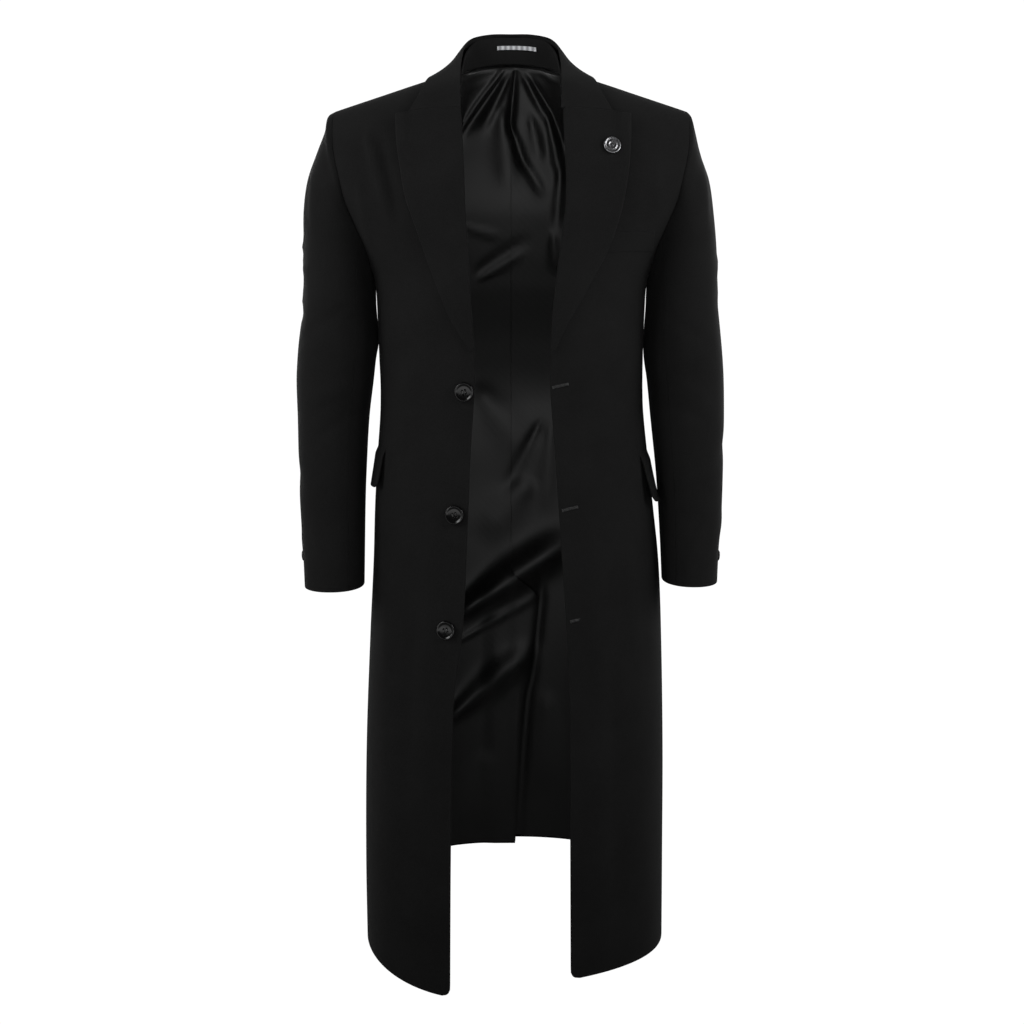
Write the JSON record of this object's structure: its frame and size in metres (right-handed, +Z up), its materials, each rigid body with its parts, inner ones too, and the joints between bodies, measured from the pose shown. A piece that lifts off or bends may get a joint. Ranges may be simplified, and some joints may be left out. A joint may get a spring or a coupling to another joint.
{
  "type": "overcoat",
  "caption": "Full-length single-breasted wool overcoat with peak lapels, worn open and filled out with nobody in it",
  "frame": {"origin": "on the centre line at the level of the neck seam at the shoulders, where the wearer's shoulders hold the coat", "axes": "+Z up, the front of the coat faces -Y, +X toward the wearer's left"},
  "size_m": [0.5866, 0.3618, 1.2889],
  "materials": {
    "black_wool": "brushed wool, matte with a short nap",
    "black_satin_lining": "satin lining with a soft gloss",
    "black_button": "polished, with a raised rim",
    "silvery_pin": "antiqued silver colour",
    "hanger_loop_tape": "woven tape with a silvery sheen"
  },
  "bodies": {
    "root": {"breast_welt": "black_wool", "collar_fall": "black_wool", "collar_stand": "black_wool", "front_button_bottom": "black_button", "front_button_middle": "black_button", "front_button_top": "black_button", "hanger_loop": "hanger_loop_tape", "lapel_pin": "silvery_pin", "left_back": "black_wool", "left_back_lining": "black_satin_lining", "left_cuff_button": "black_button", "left_front": "black_wool", "left_hip_flap": "black_wool", "left_lapel": "black_wool", "left_top_sleeve": "black_wool", "left_under_sleeve": "black_wool", "right_back": "black_wool", "right_back_lining": "black_satin_lining", "right_cuff_button": "black_button", "right_front": "black_wool", "right_hip_flap": "black_wool", "right_lapel": "black_wool", "right_top_sleeve": "black_wool", "right_under_sleeve": "black_wool"}
  },
  "joints": []
}
